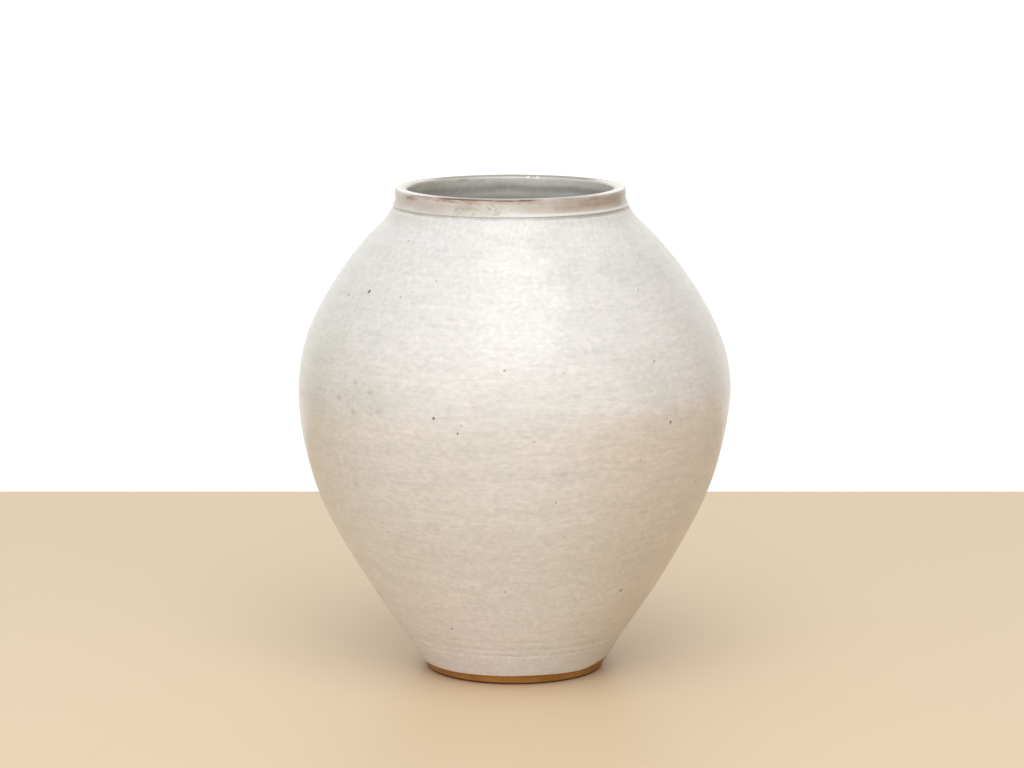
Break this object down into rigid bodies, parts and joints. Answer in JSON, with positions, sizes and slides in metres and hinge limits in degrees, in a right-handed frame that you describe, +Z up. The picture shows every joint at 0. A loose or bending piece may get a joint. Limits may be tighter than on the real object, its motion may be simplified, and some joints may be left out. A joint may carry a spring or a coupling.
{
  "type": "moon jar",
  "caption": "Tall tapered stoneware moon jar with a short upright collar, wide open mouth and bare turned foot ring, under a milky white glaze.",
  "frame": {"origin": "centre of the resting face of the foot ring, on the surface the jar stands on", "axes": "+Z up along the jar's axis towards the mouth; +X and +Y are free, since the clay form is round; the pictured side faces -Y"},
  "size_m": [0.2224, 0.2224, 0.25],
  "materials": {
    "bare_clay": "matte",
    "body_clay": "matte",
    "seam_clay": "matte",
    "outer_glaze": "satin",
    "inner_glaze": "gloss"
  },
  "bodies": {
    "root": {"foot_ring": "bare_clay", "lower_bowl": "body_clay", "waist_seam": "seam_clay", "upper_bowl": "body_clay", "mouth_collar": "body_clay", "outer_glaze": "outer_glaze", "inner_glaze": "inner_glaze"}
  },
  "joints": []
}
